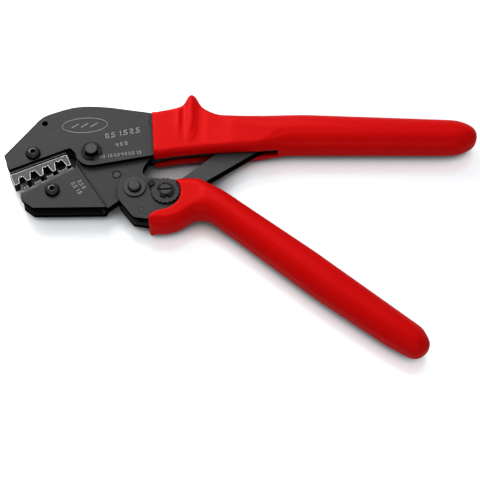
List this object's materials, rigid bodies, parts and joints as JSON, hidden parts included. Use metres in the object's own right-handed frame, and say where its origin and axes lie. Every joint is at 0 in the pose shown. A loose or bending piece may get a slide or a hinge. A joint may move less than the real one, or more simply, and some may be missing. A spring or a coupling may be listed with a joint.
{
  "type": "lever crimping pliers",
  "caption": "Lever crimping pliers with toggle linkage, ratchet, adjusting wheel, exchangeable open-barrel dies, dark steel head and red grips.",
  "frame": {"origin": "on the main pivot axis, where the moving jaw turns in the frame, at mid-thickness", "axes": "+X from the nose towards the handle ends, +Y towards the fixed handle, +Z out of the front face, which carries the adjusting wheel"},
  "size_m": [0.2506, 0.1529, 0.019],
  "materials": {
    "plate_steel": "satin burnished black",
    "pin_steel": "satin black oxide with lighter edges",
    "die_steel": "ground and polished",
    "spring_steel": "drawn wire",
    "grip_plastic": "satin moulded"
  },
  "bodies": {
    "frame": {"frame_plate_front": "plate_steel", "frame_plate_rear": "plate_steel", "frame_rivets": "pin_steel", "frame_spacers": "plate_steel", "locator_bush": "pin_steel", "main_pivot_pin": "pin_steel", "main_pivot_clip": "pin_steel", "strut_pin": "pin_steel", "upper_die": "die_steel", "upper_die_screw": "pin_steel", "opening_spring": "spring_steel", "upper_grip": "grip_plastic"},
    "jaw": {"jaw_plate_front": "plate_steel", "jaw_plate_rear": "plate_steel", "jaw_rivet": "pin_steel", "lower_die": "die_steel", "lower_die_screw": "pin_steel"},
    "handle": {"handle_plate_front": "plate_steel", "handle_plate_rear": "plate_steel", "handle_rivets": "pin_steel", "handle_spacers": "plate_steel", "handle_pivot_pin": "pin_steel", "handle_pivot_washers": "pin_steel", "pawl_pin": "pin_steel", "pawl_spring": "spring_steel", "lock_screw": "pin_steel", "lower_grip": "grip_plastic"},
    "strut": {"toggle_strut": "plate_steel", "spring_hook_pin": "pin_steel"},
    "adjuster": {"adjusting_pin": "pin_steel", "adjusting_wheel": "plate_steel", "adjuster_clips": "pin_steel"},
    "pawl": {"pawl": "plate_steel"}
  },
  "joints": [
    {"name": "handle_squeeze", "type": "hinge", "parent": "jaw", "child": "handle", "pos_m": [0.0234, -0.022, 0], "axis": [0, 0, 1], "range_deg": [0, 36]},
    {"name": "jaw_close", "type": "hinge", "parent": "frame", "child": "jaw", "pos_m": [0, 0, 0], "axis": [0, 0, -1], "range_deg": [0, 6.5]},
    {"name": "strut_turn", "type": "hinge", "parent": "handle", "child": "strut", "pos_m": [0.0396, -0.0246, 0], "axis": [0, 0, -1], "range_deg": [0, 35.7]},
    {"name": "adjuster_turn", "type": "hinge", "parent": "handle", "child": "adjuster", "pos_m": [0.0396, -0.0246, 0], "axis": [0, 0, 1], "range_deg": [-90, 90]},
    {"name": "pawl_swing", "type": "hinge", "parent": "handle", "child": "pawl", "pos_m": [0.0273, -0.0354, 0], "axis": [0, 0, 1], "range_deg": [-12, 12]}
  ],
  "couplings": [
    {"joint": "jaw_close", "follows": "handle_squeeze", "ratio": 0.1805},
    {"joint": "strut_turn", "follows": "handle_squeeze", "ratio": 0.989}
  ]
}
